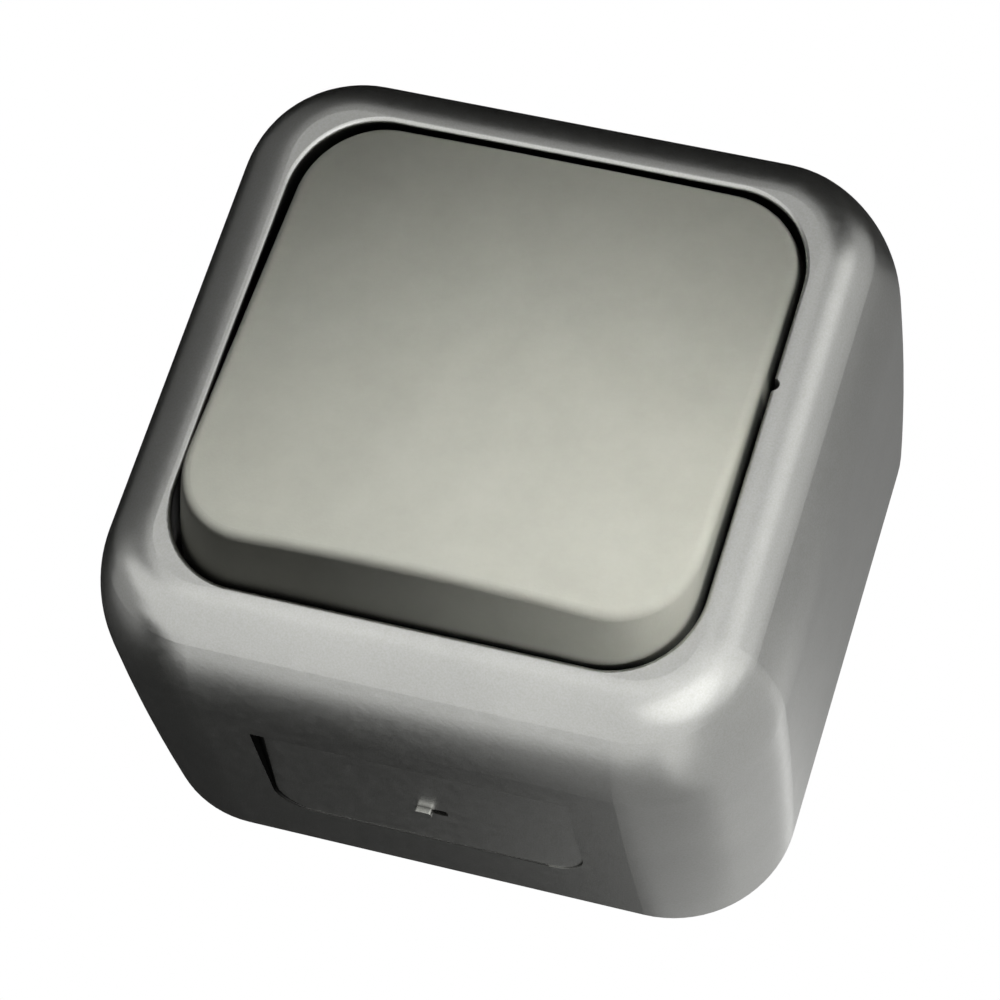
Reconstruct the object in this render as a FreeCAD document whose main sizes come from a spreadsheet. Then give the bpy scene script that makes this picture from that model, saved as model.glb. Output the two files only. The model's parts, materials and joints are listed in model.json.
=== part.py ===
import FreeCAD, Part
import math
import os
import re

import Sketcher
from FreeCAD import Placement, Rotation, Vector

# Surface mounted light switch. X is to the right, Z is up, and the front faces -Y. The back of the
# housing lies on the wall in the plane y = 0, so a depth is a distance out from the wall. The rocker
# and its carrier are drawn square to the wall about their hinge line, and then tilted to their rest.
SIZES = {
    # Cover
    "cover_width": 68.0,  # at its widest, both ways
    "cover_taper": 1.0,  # each side comes in by this much towards the wall
    "cover_corner": 13.1,  # plan radius of the vertical corners at the widest
    "cover_wall": 2.0,
    "front_drop": 12.5,  # from the front back to the widest section
    "front_run": 7.1,  # from the widest section in to the flat front land
    "front_radius": 5.5,  # the smaller of the two radii of the rounded front edge
    "rim_radius": 0.4,  # softened edge of the opening
    "rim_land": 0.7,  # flat land round the opening
    "opening_corner": 8.5,
    "collar_wall": 1.3,  # guide round the rocker inside the front
    "collar_reach": 4.5,
    "cable_panel_width": 32.0,  # break-out panel for a surface cable, under the cover
    "cable_panel_depth": 17.5,
    "cable_panel_start": 8.5,
    "cable_panel_sink": 0.26,  # its floor, carried on to the wall, in from the widest section
    "cable_panel_lean": 2.3,  # degrees by which its floor sinks further towards the front
    "cable_panel_web": 0.7,  # thickness left to break out
    "cable_panel_corner": 4.0,
    "pry_mark_width": 1.7,
    "pry_mark_height": 1.0,
    "pry_mark_rise": 0.6,
    "pry_mark_corner": 0.3,
    "pry_slot_width": 1.5,
    "pry_mark_offset": 6.4,
    "notch_radius": 0.7,  # notch in the rim for lifting the rocker out
    "notch_height": 6.1,
    "catch_width": 8.0,  # ribs inside the cover that the base plate's hooks hold
    "catch_depth": 9.0,
    "catch_thickness": 1.4,
    "catch_reach": 1.5,
    # Rocker
    "hinge_depth": 31.1,  # wall to the hinge line
    "hinge_sink": 10.9,  # hinge line to the front of the housing
    "rest_tilt": 6.0,
    "rocker_side_gap": 0.8,  # between the rocker's flat sides and the opening
    "rocker_gap": 0.5,  # between the rocker's round ends and the opening
    "rocker_corner_ease": 0.2,  # how much sharper the rocker's corners are than the opening's
    "rocker_wall": 1.8,
    "face_thickness": 2.0,
    "face_height": 13.4,  # hinge line to the crown of the face
    "face_crown": 0.9,
    "face_edge_radius": 1.1,
    "skirt_height": 4.3,  # hinge line to the lower edge of the rocker's walls
    "rocker_rib": 1.2,
    "rocker_rib_spread": 11.0,
    "clip_width": 4.0,
    "clip_thickness": 1.6,
    "clip_spread": 13.0,
    "clip_nose": 0.8,
    "clip_nose_height": 1.2,
    # Rocker carrier
    "carrier_width": 19.8,
    "carrier_height": 18.0,
    "carrier_top": 4.0,
    "carrier_plate": 2.8,
    "carrier_corner": 1.0,
    "axle_radius": 2.0,
    "axle_clearance": 0.05,
    "axle_setback": 0.2,  # axle ends inside the cheeks' outer faces
    "yoke_width": 29.4,
    "yoke_height": 5.6,
    "yoke_drop": 2.4,
    "tube_radius": 4.3,
    "tube_reach": 9.0,
    "tube_bore": 3.2,
    "tube_roof": 1.5,
    # Plunger and its spring
    "plunger_clearance": 0.08,
    "tip_gap": 0.3,  # between the plunger's tip and the level lever
    "plunger_stem": 4.05,  # shoulder to tip
    "plunger_tip": 1.5,
    "plunger_taper": 1.1,
    "spigot_length": 1.4,
    "spigot_play": 0.2,
    "spring_room": 6.8,  # length of the space that holds the spring
    "spring_radius": 2.3,
    "spring_wire": 0.5,
    "spring_turns": 5.0,
    "spring_play": 0.05,
    # Contact lever
    "lever_depth": 13.0,
    "lever_tilt": 7.0,
    "lever_width": 5.0,
    "lever_thickness": 0.9,
    "lever_flat": 6.0,
    "lever_past": 1.5,  # lever beyond the contact's axis
    "lever_bend": 5.0,
    "lever_corner": 1.5,
    "ear_span": 9.0,
    "ear_width": 1.2,
    "contact_height": 9.5,
    "contact_radius": 1.8,
    "contact_head": 1.0,
    "contact_round": 0.4,
    "contact_foot": 0.5,
    "contact_foot_radius": 1.4,
    "fixed_contact_radius": 1.9,
    "contact_drop": 2.4,  # from the lever's hinge line to the fixed contact's face
    "rivet_shank": 0.9,
    "rivet_play": 0.05,
    # Terminals
    "strip_drop": 5.0,  # from the lever's hinge line to the back of the strips
    "strip_thickness": 1.2,
    "strip_width": 7.0,
    "strip_end": 4.5,  # strip beyond the terminal screw's axis
    "strip_high": 3.0,
    "strip_corner": 0.8,
    "load_arm_corner": 1.2,
    "common_reach": 4.3,
    "load_arm_up": 2.5,  # from the contact's axis to the upper edge of the load arm
    "load_reach": 2.9,
    "post_gap": 0.4,
    "post_thickness": 0.9,
    "post_width": 4.4,
    "post_rise": 1.3,  # posts above the lever's hinge line
    "seat_width": 2.0,
    "seat_room": 0.35,  # below the lever's ears
    "terminal_spread": 22.2,
    "terminal_height": 10.0,
    "terminal_screw_radius": 1.5,
    "terminal_head_radius": 2.5,
    "terminal_head": 2.2,
    "wire_gap": 2.25,  # between strip and clamp
    "terminal_screw_floor": 1.6,  # left between a screw's end and the base plate
    "thread_play": 0.05,
    "clamp_width": 6.4,
    "clamp_height": 6.2,
    "clamp_thickness": 1.2,
    "clamp_corner": 0.8,
    "clamp_lip": 1.6,
    "clamp_lip_width": 0.9,
    "clamp_lip_inset": 1.0,
    "strip_rivet_radius": 1.2,
    "strip_rivet_head": 2.1,
    "strip_rivet_head_height": 0.8,
    "strip_rivet_round": 0.55,
    "strip_rivet_floor": 2.4,
    # Base plate
    "plate_gap": 0.35,
    "plate_thickness": 2.6,
    "plate_rim": 1.4,
    "plate_rim_top": 7.0,
    "wall_slot_margin": 4.25,  # between slot and rim
    "wall_slot_width": 4.4,
    "wall_slot_length": 6.0,
    "rear_entry_radius": 6.2,  # hole for a cable out of the wall
    "rear_entry_margin": 0.5,  # between that hole and the rim
    "hook_thickness": 1.3,
    "hook_width": 7.0,
    "hook_nose": 0.9,
    "hook_nose_height": 1.7,
    "seat_gap": 0.3,  # free play between parts that face each other
    # Mechanism body and its lid
    "body_shoulder": 0.4,  # block beyond the cheeks
    "body_end_wall": 1.25,  # beyond the terminal strips
    "body_drop": 8.1,  # from the hinge line to the block's top
    "body_corner": 1.5,
    "chamber_width": 12.6,
    "chamber_play": 2.0,  # beyond the lever's ends
    "chamber_corner": 1.0,
    "strip_play": 0.25,
    "well_corner": 0.6,
    "cheek_gap": 0.3,
    "cheek_thickness": 2.6,
    "cheek_width": 10.0,
    "cheek_rise": 3.6,
    "fixing_spread": 27.0,
    "fixing_height": 12.0,
    "fixing_boss_radius": 3.3,
    "fixing_boss_top": 6.0,
    "fixing_flange": 2.8,
    "fixing_radius": 1.5,
    "fixing_head_radius": 2.8,
    "fixing_head": 2.0,
    "fixing_well": 3.2,
    "fixing_end": 1.2,
    "screw_end_room": 0.3,  # blind hole past the end of what stands in it
    "screw_chamfer": 0.5,
    "screw_point": 0.8,
    "screw_head_round": 0.4,
    "driver_slot": 0.8,
    "driver_slot_depth": 0.9,
    "wire_hole_radius": 1.9,
    "lever_stop_drop": 1.4,  # from the lever's hinge line to its stop
    "lever_stop_width": 4.0,
    "lever_stop_thickness": 1.6,
    "lid_thickness": 1.4,
    "lid_corner": 1.0,
    "lid_margin": 0.5,  # from the lid's edge to the fixing wells
    "driver_hole": 3.0,
    "stop_spread_x": 15.0,
    "stop_spread_z": 16.4,
    "stop_width": 2.6,
    "stop_corner": 0.4,
    "stop_drop": 0.1,  # from the hinge line to the stops' tops
}
NEAR = 0.01  # mm, to which an edge counts as lying on a plane or a line
PAST = 1.0  # mm, how far a cut runs past the face that it opens
INTO = 0.5  # mm, how far a joined form starts inside what carries it
ROUND_RATIO = 0.499  # of a width: a round end, just short of its two arcs meeting
DOME_RATIO = 0.95  # of a pin's radius: its rounded end
SPOTS = 5  # points at which a curved edge is tested

# Places worked out from the sizes, as formulas of their names
PLACES = {
    # Cover
    "cover_depth": "hinge_depth + hinge_sink",
    "back_half": "cover_width/2 - cover_taper",
    "inner_half": "cover_width/2 - cover_wall",
    "widest_depth": "cover_depth - front_drop",
    "land_half": "cover_width/2 - front_run",
    "corner_centre": "cover_width/2 - cover_corner",
    "land_inner": "corner_centre + cover_wall/2",
    "opening_width": "2 * (land_half - rim_land)",
    "opening_radius": "sqrt(opening_width^2 / 4 + hinge_sink^2)",
    "panel_floor": "cover_width/2 - cable_panel_sink",
    "pry_mark_depth": "cable_panel_start + pry_mark_offset",
    "pry_mark_foot": "panel_floor - pry_mark_depth * tan(cable_panel_lean * 1deg)",
    # Rocker and carrier
    "rocker_width": "opening_width - 2 * rocker_side_gap",
    "rocker_radius": "opening_radius - rocker_gap",
    "rocker_corner": "opening_corner - rocker_corner_ease",
    "crown_radius": "(rocker_width^2 / 4 + face_crown^2) / (2 * face_crown)",
    "rib_top": "face_height - face_crown - face_thickness/4",
    "carrier_under": "carrier_top - carrier_plate",
    "cheek_inner": "yoke_width/2 + cheek_gap",
    "cheek_outer": "cheek_inner + cheek_thickness",
    "axle_half": "cheek_outer - axle_setback",
    # Plunger, measured down from the hinge line
    "plunger_reach": "hinge_depth - lever_depth - lever_thickness/2 - tip_gap",
    "plunger_shoulder": "plunger_reach - plunger_stem",
    "spring_roof": "carrier_top - tube_roof",
    "plunger_top": "spring_room - spring_roof",
    # Contacts and terminals
    "lever_half": "contact_height + lever_past",
    "arm_rise": "(lever_half - lever_flat/2) * tan(lever_bend * 1deg)",
    "strip_depth": "lever_depth - strip_drop",
    "strip_top": "strip_depth + strip_thickness",
    "contact_face": "lever_depth - contact_drop",
    "strip_inner": "terminal_spread/2 - strip_width/2",
    "strip_outer": "terminal_spread/2 + strip_width/2",
    "strip_low": "terminal_height + strip_end",
    "load_arm_low": "contact_height + load_reach",
    "load_arm_high": "contact_height - load_arm_up",
    "post_inner": "lever_width/2 + post_gap",
    "post_outer": "post_inner + post_thickness",
    "post_top": "lever_depth + post_rise",
    "seat_depth": "lever_depth - lever_thickness/2 - seat_room",
    "clamp_under": "strip_top + wire_gap + clamp_lip",
    "clamp_top": "clamp_under + clamp_thickness",
    "terminal_head_depth": "clamp_top + rivet_play",
    "terminal_screw_end": "plate_thickness + terminal_screw_floor",
    "strip_rivet_end": "plate_thickness + strip_rivet_floor",
    # Mechanism body and lid
    "body_width": "2 * (cheek_outer + body_shoulder)",
    "body_height": "2 * (strip_low + strip_play + body_end_wall)",
    "body_top": "hinge_depth - body_drop",
    "chamber_height": "2 * (lever_half + chamber_play)",
    "lever_stop_top": "lever_depth - lever_stop_drop",
    "flange_top": "fixing_boss_top + rivet_play + fixing_flange",
    "lid_top": "body_top + lid_thickness",
    "lid_half_width": "cheek_inner - lid_margin",
    "lid_half_height": "body_height/2 - 2 * lid_margin",
    "lid_hole": "tube_radius + body_drop * sin(rest_tilt * 1deg) + seat_gap",
    "stop_top": "hinge_depth - stop_drop",
    # Base plate
    "plate_half": "back_half - cover_wall - plate_gap",
    "rim_inner": "plate_half - plate_rim",
    "slot_far": "rim_inner - wall_slot_margin",
    "slot_near": "slot_far - wall_slot_length",
    "rear_entry_height": "rim_inner - rear_entry_margin - rear_entry_radius",
    "hook_outer": "inner_half - catch_reach - seat_gap",
    "hook_inner": "hook_outer - hook_thickness",
    "hook_nose_low": "catch_depth + catch_thickness + seat_gap",
    "hook_nose_high": "hook_nose_low + hook_nose_height",
}
FIXINGS = [(f"{side} * fixing_spread/2", "fixing_height") for side in (-1, 1)]

doc = FreeCAD.newDocument("surface_switch")
dim = doc.addObject("Spreadsheet::Sheet", "dim")
for row, (name, size) in enumerate(SIZES.items(), start=1):
    dim.set(f"A{row}", name)
    dim.set(f"B{row}", str(size))
    dim.setAlias(f"B{row}", name)
doc.recompute()


def tied(formula):
    """The formula with each place worked out and each size's name turned into its cell."""

    def cell(word):
        name = word[0]
        if name in PLACES:
            return f"({tied(PLACES[name])})"
        return f"dim.{name}" if name in SIZES else name

    return re.sub(r"[a-z][a-z_]+", cell, str(formula))


def value(formula):
    return float(dim.evalExpression(tied(formula)))


def new_body(label):
    body = doc.addObject("PartDesign::Body", label)
    body.Label = label
    return body


def origin_plane(body, role):
    return next(plane for plane in body.Origin.OriginFeatures if plane.Role == role)


def new_sketch(body, name, role="XZ_Plane", offset=0, lean=0):
    """A sketch parallel to a plane of the body, or leaning back about its own first axis."""
    sketch = body.newObject("Sketcher::SketchObject", name)
    sketch.AttachmentSupport = (origin_plane(body, role), [""])
    sketch.MapMode = "FlatFace"
    if lean:
        sketch.AttachmentOffset = Placement(Vector(), Rotation(Vector(-1, 0, 0), value(lean)))
        sketch.setExpression("AttachmentOffset.Rotation.Angle", tied(f"({lean}) * 1deg"))
    sketch.setExpression("AttachmentOffset.Base.z", tied(offset))
    return sketch


def bind(sketch, kind, *ends, formula):
    """A dimension of the sketch whose value follows a formula of the sheet's sizes."""
    index = sketch.addConstraint(Sketcher.Constraint(kind, *ends, value(formula)))
    sketch.setExpression(f"Constraints[{index}]", tied(formula))


def place(sketch, item, end, across, along):
    """Fix one end, or the centre, of an item at a place given by two formulas."""
    bind(sketch, "DistanceX", -1, 1, item, end, formula=across)
    bind(sketch, "DistanceY", -1, 1, item, end, formula=along)


def outline(*corners):
    """A closed outline of straight lines. A corner is two formulas, and a third rounds it."""

    def draw(sketch):
        points = [Vector(value(corner[0]), value(corner[1])) for corner in corners]
        count = len(points)
        starts, ends = [], []
        for index, corner in enumerate(corners):
            before = (points[index - 1] - points[index]).normalize()
            after = (points[(index + 1) % count] - points[index]).normalize()
            radius = value(corner[2]) if len(corner) > 2 else 0
            reach = radius / math.tan(before.getAngle(after) / 2)
            ends.append(points[index] + before * reach)
            starts.append(points[index] + after * reach)
        lines = []
        for index in range(count):
            side = Part.LineSegment(starts[index], ends[(index + 1) % count])
            lines.append(sketch.addGeometry(side, False))
        for index, corner in enumerate(corners):
            ways = ends[index], starts[index], lines[index - 1], lines[index]
            round_or_join(sketch, corner, points[index], *ways)

    return draw


def round_or_join(sketch, corner, point, arrive, leave, before, after):
    """Join two lines of an outline at a corner, or round them with a tangent arc."""
    if len(corner) == 2:
        sketch.addConstraint(Sketcher.Constraint("Coincident", before, 2, after, 1))
        place(sketch, after, 1, *corner)
        return
    radius = value(corner[2])
    middle = (arrive + leave) / 2
    centre = point + (middle - point).normalize() * math.hypot(radius, (arrive - point).Length)
    from_arrival, from_leaving = arrive - centre, leave - centre
    left_turn = from_arrival.cross(from_leaving).z > 0
    sweep = (from_arrival, from_leaving) if left_turn else (from_leaving, from_arrival)
    first, last = (1, 2) if left_turn else (2, 1)
    ring = Part.Circle(centre, Vector(0, 0, 1), radius)
    arc = sketch.addGeometry(Part.ArcOfCircle(ring, *(math.atan2(ray.y, ray.x) for ray in sweep)), False)
    sketch.addConstraint(Sketcher.Constraint("Tangent", before, 2, arc, first))
    sketch.addConstraint(Sketcher.Constraint("Tangent", arc, last, after, 1))
    bind(sketch, "Radius", arc, formula=corner[2])
    tip = sketch.addGeometry(Part.Point(point), True)
    place(sketch, tip, 1, corner[0], corner[1])
    sketch.addConstraint(Sketcher.Constraint("PointOnObject", tip, 1, before))
    sketch.addConstraint(Sketcher.Constraint("PointOnObject", tip, 1, after))


def box(left, right, low, high, *corner):
    """A rectangle between four formulas, with rounded corners if a radius is given."""
    places = (left, low), (right, low), (right, high), (left, high)
    return outline(*((*spot, *corner) for spot in places))


def centred_box(width, height, *corner):
    return box(f"-({width})/2", f"({width})/2", f"-({height})/2", f"({height})/2", *corner)


def both_sides(inner, outer):
    """The stretch between two distances from the middle, to the left and to the right of it."""
    return (f"-{outer}", f"-{inner}"), (inner, outer)


def circle(radius, across=0, along=0):
    def draw(sketch):
        centre = Vector(value(across), value(along))
        ring = sketch.addGeometry(Part.Circle(centre, Vector(0, 0, 1), value(radius)), False)
        bind(sketch, "Radius", ring, formula=radius)
        place(sketch, ring, 3, across, along)

    return draw


def finish_feature(body, feature):
    doc.recompute()
    body.Tip = feature
    return feature


def pad(body, name, shapes, start, end, role="XZ_Plane"):
    """Material between two distances along the plane's normal."""
    sketch = new_sketch(body, name + "_sketch", role, start)
    for draw in shapes:
        draw(sketch)
    feature = body.newObject("PartDesign::Pad", name)
    feature.Profile = sketch
    feature.setExpression("Length", tied(f"({end}) - ({start})"))
    return finish_feature(body, feature)


def pocket(body, name, shapes, start, end, role="XZ_Plane", lean=0):
    """A cut between two distances along the plane's normal, checked to remove something."""
    before = body.Tip.Shape.Volume
    sketch = new_sketch(body, name + "_sketch", role, start, lean)
    for draw in shapes:
        draw(sketch)
    feature = body.newObject("PartDesign::Pocket", name)
    feature.Profile = sketch
    feature.Reversed = True
    feature.setExpression("Length", tied(f"({end}) - ({start})"))
    finish_feature(body, feature)
    if feature.Shape.Volume > before - 1e-6:
        raise RuntimeError(f"{body.Label}: {name} cuts nothing")
    return feature


def turn(body, name, shapes, cut=False, axis="V_Axis", depth=0):
    """A turned form, or a turned cut, about an axis of its sketch, at a depth on the XY plane."""
    before = body.Tip.Shape.Volume if cut else 0
    sketch = new_sketch(body, name + "_sketch", "XY_Plane")
    sketch.setExpression("AttachmentOffset.Base.y", tied(f"-({depth})"))
    for draw in shapes:
        draw(sketch)
    feature = body.newObject("PartDesign::Groove" if cut else "PartDesign::Revolution", name)
    feature.Profile = sketch
    feature.ReferenceAxis = (sketch, [axis])
    feature.Angle = 360
    finish_feature(body, feature)
    if cut and feature.Shape.Volume > before - 1e-6:
        raise RuntimeError(f"{body.Label}: {name} cuts nothing")
    return feature


def round_edges(body, name, edges, radius):
    base = body.Tip
    chosen = [f"Edge{index}" for index, edge in enumerate(base.Shape.Edges, start=1) if edges(edge)]
    feature = body.newObject("PartDesign::Fillet", name)
    feature.Base = (base, chosen)
    feature.setExpression("Radius", tied(radius))
    return finish_feature(body, feature)


def tilt_to_rest(body, axis, depth, angle):
    """Put a body that was drawn about its own hinge line on that line, tilted as it rests."""
    body.Placement = Placement(Vector(0, -value(depth), 0), Rotation(axis, value(angle)))
    body.setExpression("Placement.Base.y", tied(f"-({depth})"))
    body.setExpression("Placement.Rotation.Angle", tied(f"({angle}) * 1deg"))


def cover_section(sketch):
    """Section of the moulded wall: tapered side, round front edge in two arcs, flat land."""
    half, back = value("cover_width/2"), value("back_half")
    widest, front, land = value("widest_depth"), value("cover_depth"), value("land_half")
    wall, inner = value("cover_wall"), value("land_inner")
    small = value("front_radius")
    drop, run = front - widest, half - land
    big = (drop**2 + run**2 - 2 * drop * small) / (2 * (run - small))
    side = (widest**2 + (half - back) ** 2) / (2 * (half - back))
    big_centre, small_centre = Vector(half - big, -widest), Vector(land, -(front - small))
    side_centre = Vector(half - side, -widest)
    away = (small_centre - big_centre).normalize()

    def shell_arcs(inset):
        foot = side_centre.x + math.sqrt((side - inset) ** 2 - widest**2)
        meet = math.atan2(away.y, away.x)
        arcs = (
            (side_centre, side, 0, math.asin(widest / (side - inset))),
            (big_centre, big, meet, 0),
            (small_centre, small, -math.pi / 2, meet),
        )
        drawn = []
        for centre, radius, start, end in arcs:
            ring = Part.Circle(centre, Vector(0, 0, 1), radius - inset)
            drawn.append(sketch.addGeometry(Part.ArcOfCircle(ring, start, end), False))
        return drawn, foot

    outer, foot = shell_arcs(0)
    inside, inner_foot = shell_arcs(wall)
    front_out, front_in = Vector(land, -front), Vector(inner, -front)
    under_in, under_out = Vector(inner, wall - front), Vector(land, wall - front)
    at_wall = Vector(inner_foot), Vector(foot)
    runs = (front_out, front_in), (front_in, under_in), (under_in, under_out), at_wall
    lines = [sketch.addGeometry(Part.LineSegment(*run), False) for run in runs]
    for low, middle, top in (outer, inside):
        sketch.addConstraint(Sketcher.Constraint("Coincident", low, 1, middle, 2))
        sketch.addConstraint(Sketcher.Constraint("Tangent", middle, 1, top, 2))
    for first, end, second, start in (
        (outer[2], 1, lines[0], 1),
        (lines[0], 2, lines[1], 1),
        (lines[1], 2, lines[2], 1),
        (lines[2], 2, inside[2], 1),
        (inside[0], 2, lines[3], 1),
        (lines[3], 2, outer[0], 2),
    ):
        sketch.addConstraint(Sketcher.Constraint("Coincident", first, end, second, start))
    for one, other in zip(outer, inside):
        sketch.addConstraint(Sketcher.Constraint("Coincident", one, 3, other, 3))
    place(sketch, outer[0], 2, "back_half", 0)
    place(sketch, outer[1], 2, "cover_width/2", "-widest_depth")
    bind(sketch, "DistanceY", -1, 1, outer[0], 3, formula="-widest_depth")
    bind(sketch, "DistanceY", -1, 1, outer[1], 3, formula="-widest_depth")
    bind(sketch, "DistanceX", -1, 1, outer[2], 3, formula="land_half")
    place(sketch, outer[2], 1, "land_half", "-cover_depth")
    bind(sketch, "Radius", outer[2], formula="front_radius")
    place(sketch, inside[1], 2, "cover_width/2 - cover_wall", "-widest_depth")
    bind(sketch, "DistanceY", -1, 1, inside[0], 2, formula="0")
    bind(sketch, "DistanceX", -1, 1, inside[2], 1, formula="land_half")
    place(sketch, lines[1], 1, "land_inner", "-cover_depth")
    place(sketch, lines[1], 2, "land_inner", "cover_wall - cover_depth")


def barrel(width, radius, corner):
    """Half section of a drum about the hinge line, with rounded shoulders."""
    return outline(
        (f"-({width})/2", "0"),
        (f"-({width})/2", f"-({radius})", corner),
        (f"({width})/2", f"-({radius})", corner),
        (f"({width})/2", "0"),
    )


def crowned_face(height):
    """Everything in front of the rocker's crowned face, seen from above."""

    def draw(sketch):
        radius = value("crown_radius")
        swing = math.asin(value("rocker_width/2") / radius)
        rim = Part.Circle(Vector(0, radius - value(height)), Vector(0, 0, 1), radius)
        face = Part.ArcOfCircle(rim, -math.pi / 2 - swing, -math.pi / 2 + swing)
        arc = sketch.addGeometry(face, False)
        edge, far, side = f"face_crown - ({height})", "-rocker_width", "rocker_width"
        route = [
            ("rocker_width/2", edge),
            (side, edge),
            (side, far),
            (f"-{side}", far),
            (f"-{side}", edge),
            ("-rocker_width/2", edge),
        ]
        points = [Vector(value(across), value(along)) for across, along in route]
        lines = [sketch.addGeometry(Part.LineSegment(a, b), False) for a, b in zip(points, points[1:])]
        for before, after in zip(lines, lines[1:]):
            sketch.addConstraint(Sketcher.Constraint("Coincident", before, 2, after, 1))
        sketch.addConstraint(Sketcher.Constraint("Coincident", arc, 2, lines[0], 1))
        sketch.addConstraint(Sketcher.Constraint("Coincident", lines[-1], 2, arc, 1))
        for line, corner in zip(lines, route):
            place(sketch, line, 1, *corner)
        place(sketch, lines[-1], 2, *route[-1])
        bind(sketch, "Radius", arc, formula="crown_radius")

    return draw


def make_cover():
    """Moulded shell: one wall section swept round the plan, cut to clear the swinging rocker."""
    body = new_body("cover")
    far = "(2 * cover_width)"
    collar_front = "(cover_depth - cover_wall/2)"
    everything = centred_box(far, far)
    guide = barrel(
        "opening_width + 2 * collar_wall", "opening_radius + collar_wall", "opening_corner + collar_wall"
    )
    turn(body, "collar", [guide], axis="H_Axis", depth="hinge_depth")
    pocket(body, "collar_front", [everything], collar_front, far)
    pocket(body, "collar_back", [everything], f"-{far}", f"{collar_front} - collar_reach")

    spine = new_sketch(body, "plan")
    width, corner = "2 * back_half", "back_half - corner_centre"
    centred_box(width, width, corner)(spine)
    section = new_sketch(body, "section", "XY_Plane", "corner_centre")
    cover_section(section)
    shell = body.newObject("PartDesign::AdditivePipe", "shell")
    shell.Profile = section
    shell.Spine = (spine, [])
    finish_feature(body, shell)
    front_width = "2 * land_inner + cover_wall/2"
    pad(body, "front", [centred_box(front_width, front_width)], "cover_depth - cover_wall", "cover_depth")

    drum = barrel("opening_width", "opening_radius", "opening_corner")
    turn(body, "opening", [drum], cut=True, axis="H_Axis", depth="hinge_depth")
    half, front = value("opening_width/2"), value("cover_depth")

    def on_rim(edge):
        """True for an edge of the opening that lies in the flat front."""
        room = edge.BoundBox
        level = abs(room.YMin + front) < NEAR and abs(room.YMax + front) < NEAR
        return level and max(room.XMax, -room.XMin, room.ZMax, -room.ZMin) < half + NEAR

    round_edges(body, "rim", on_rim, "rim_radius")
    add_cable_panel(body)
    pocket(
        body,
        "lifting_notch",
        [circle("notch_radius", "opening_width/2", "notch_height")],
        "cover_depth - 2 * cover_wall",
        f"cover_depth + {PAST}",
    )
    inner, outer = "(inner_half - catch_reach)", "(inner_half + cover_wall/4)"
    pad(
        body,
        "catches",
        [box(*ends, "-catch_width/2", "catch_width/2") for ends in both_sides(inner, outer)],
        "catch_depth",
        "catch_depth + catch_thickness",
    )
    return body


def add_cable_panel(body):
    """Thin panel under the cover that breaks out for a surface cable, with a nub and a slot to prise it."""
    near, far = "-cable_panel_start", "-(cable_panel_start + cable_panel_depth)"
    side = "cable_panel_width/2"
    panel = outline(
        (f"-{side}", far),
        (side, far),
        (side, near, "cable_panel_corner"),
        (f"-{side}", near, "cable_panel_corner"),
    )
    outside = f"-(cover_width/2 + 2 * {PAST})", "-panel_floor"
    inside = "cable_panel_web - panel_floor", f"cover_taper + {PAST} - inner_half"
    for name, ends in (("cable_panel", outside), ("panel_back", inside)):
        pocket(body, name, [panel], *ends, role="XY_Plane", lean="cable_panel_lean")
    edge, low = "pry_mark_width/2", "-(pry_mark_depth + pry_mark_height/2)"
    high = "pry_mark_height/2 - pry_mark_depth"
    nub = box(f"-{edge}", edge, low, high, "pry_mark_corner")
    top, foot = "-(pry_mark_foot + pry_mark_rise)", "cable_panel_web/2 - pry_mark_foot"
    pad(body, "panel_nub", [nub], top, foot, role="XY_Plane")
    slot = box(edge, f"{edge} + pry_slot_width", low, high, "pry_mark_corner")
    pocket(body, "pry_slot", [slot], top, f"{PAST} - corner_centre", role="XY_Plane")


def rocker_drum(label, inset, height):
    """Drum about the hinge line, cut off by a crowned face: the rocker's outside, or its hollow."""
    body = new_body(label)
    turn(
        body,
        label + "_drum",
        [barrel(f"rocker_width - 2 * {inset}", f"rocker_radius - {inset}", f"rocker_corner - {inset}")],
        axis="H_Axis",
    )
    ends = "-rocker_width", "rocker_width"
    pocket(body, label + "_face", [crowned_face(height)], *ends, role="XY_Plane")
    return body


def make_rocker():
    """Hollow rocker with round ends about its hinge, ribs that sit on the carrier and four clips."""
    body = rocker_drum("rocker", "0", "face_height")
    ends = "-rocker_width", "rocker_width"
    below = box(*ends, "-skirt_height", "2 * rocker_radius")
    pocket(body, "skirt_edge", [below], *ends, role="XY_Plane")
    radius, height = value("crown_radius"), value("face_height")

    def on_face(edge):
        """True for an edge that lies in the crowned face."""
        centre = radius - height
        return all(
            abs(math.hypot(spot.x, spot.y - centre) - radius) < NEAR for spot in edge.discretize(SPOTS)
        )

    round_edges(body, "face_edge", on_face, "face_edge_radius")
    hollow = rocker_drum("rocker_hollow", "rocker_wall", "face_height - face_thickness")
    shell = body.newObject("PartDesign::Boolean", "hollow_out")
    shell.addObject(hollow)
    shell.Type = "Cut"
    finish_feature(body, shell)

    reach = "(rocker_width/2 - rocker_wall/2)"
    middle = "rocker_rib_spread/2"
    low, high = f"{middle} - rocker_rib/2", f"{middle} + rocker_rib/2"
    pad(
        body,
        "ribs",
        [box(f"-{reach}", reach, low, high), box(f"-{reach}", reach, f"-({high})", f"-({low})")],
        "carrier_top",
        "rib_top",
    )
    add_clips(body)
    tilt_to_rest(body, Vector(-1, 0, 0), "hinge_depth", "rest_tilt")
    return body


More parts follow.
